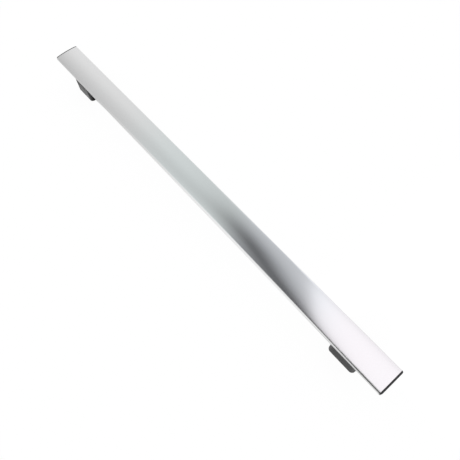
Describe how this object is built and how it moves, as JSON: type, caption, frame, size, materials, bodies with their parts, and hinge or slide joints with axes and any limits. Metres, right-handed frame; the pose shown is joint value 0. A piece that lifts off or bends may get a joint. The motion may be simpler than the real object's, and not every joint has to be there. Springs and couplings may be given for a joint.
{
  "type": "oven door handle",
  "caption": "Straight flat-bar door handle: crowned hollow aluminium bar with dark end caps, screwed to cored plastic feet that hold threaded inserts.",
  "frame": {"origin": "middle of the handle, on the plane of the door that the feet stand on", "axes": "+X along the bar, +Y across it, +Z out from the door towards the front face of the bar"},
  "size_m": [0.538, 0.0304, 0.036],
  "materials": {
    "brushed_aluminium": "satin, brushed along its length",
    "cap_plastic": "fine moulded texture",
    "foot_plastic": "fine moulded texture",
    "zinc_steel": "bright zinc plate",
    "insert_brass": "turned"
  },
  "bodies": {
    "root": {"grip_bar": "brushed_aluminium", "left_end_cap": "cap_plastic", "right_end_cap": "cap_plastic", "left_foot": "foot_plastic", "right_foot": "foot_plastic", "left_nut_plate": "zinc_steel", "right_nut_plate": "zinc_steel", "left_insert": "insert_brass", "right_insert": "insert_brass", "foot_screws": "zinc_steel"}
  },
  "joints": []
}
